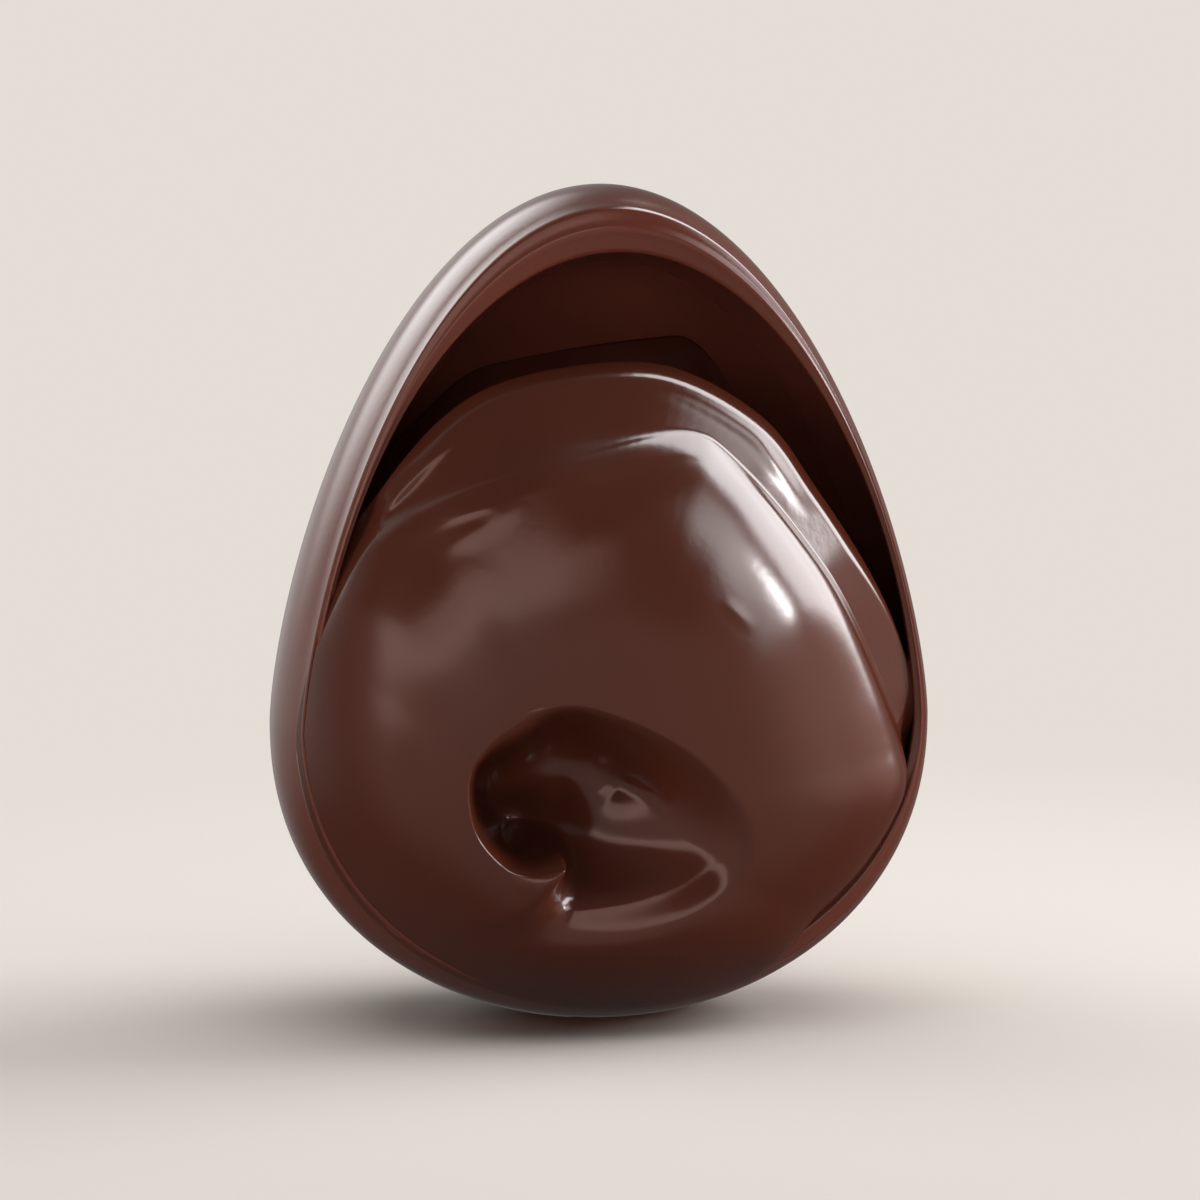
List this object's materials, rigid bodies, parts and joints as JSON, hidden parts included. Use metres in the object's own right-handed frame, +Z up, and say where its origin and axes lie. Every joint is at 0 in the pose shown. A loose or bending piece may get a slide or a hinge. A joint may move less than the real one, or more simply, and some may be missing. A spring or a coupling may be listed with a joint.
{
  "type": "chocolate praline",
  "caption": "Half-egg chocolate praline: an upright moulded shell filled with glossy chocolate cream turned into a deep swirl, open at the top.",
  "frame": {"origin": "centre of the small flat spot that the egg's blunt end stands on", "axes": "+Z up from the blunt end to the pointed end, -Y out of the open side with the swirl, +X to the right of someone who looks at the swirl"},
  "size_m": [0.0318, 0.0229, 0.04],
  "materials": {
    "moulded_chocolate": "tempered milk chocolate from a polished mould, satin gloss",
    "chocolate_cream": "smooth glossy chocolate cream, set"
  },
  "bodies": {
    "root": {"shell": "moulded_chocolate", "swirl": "chocolate_cream"}
  },
  "joints": []
}
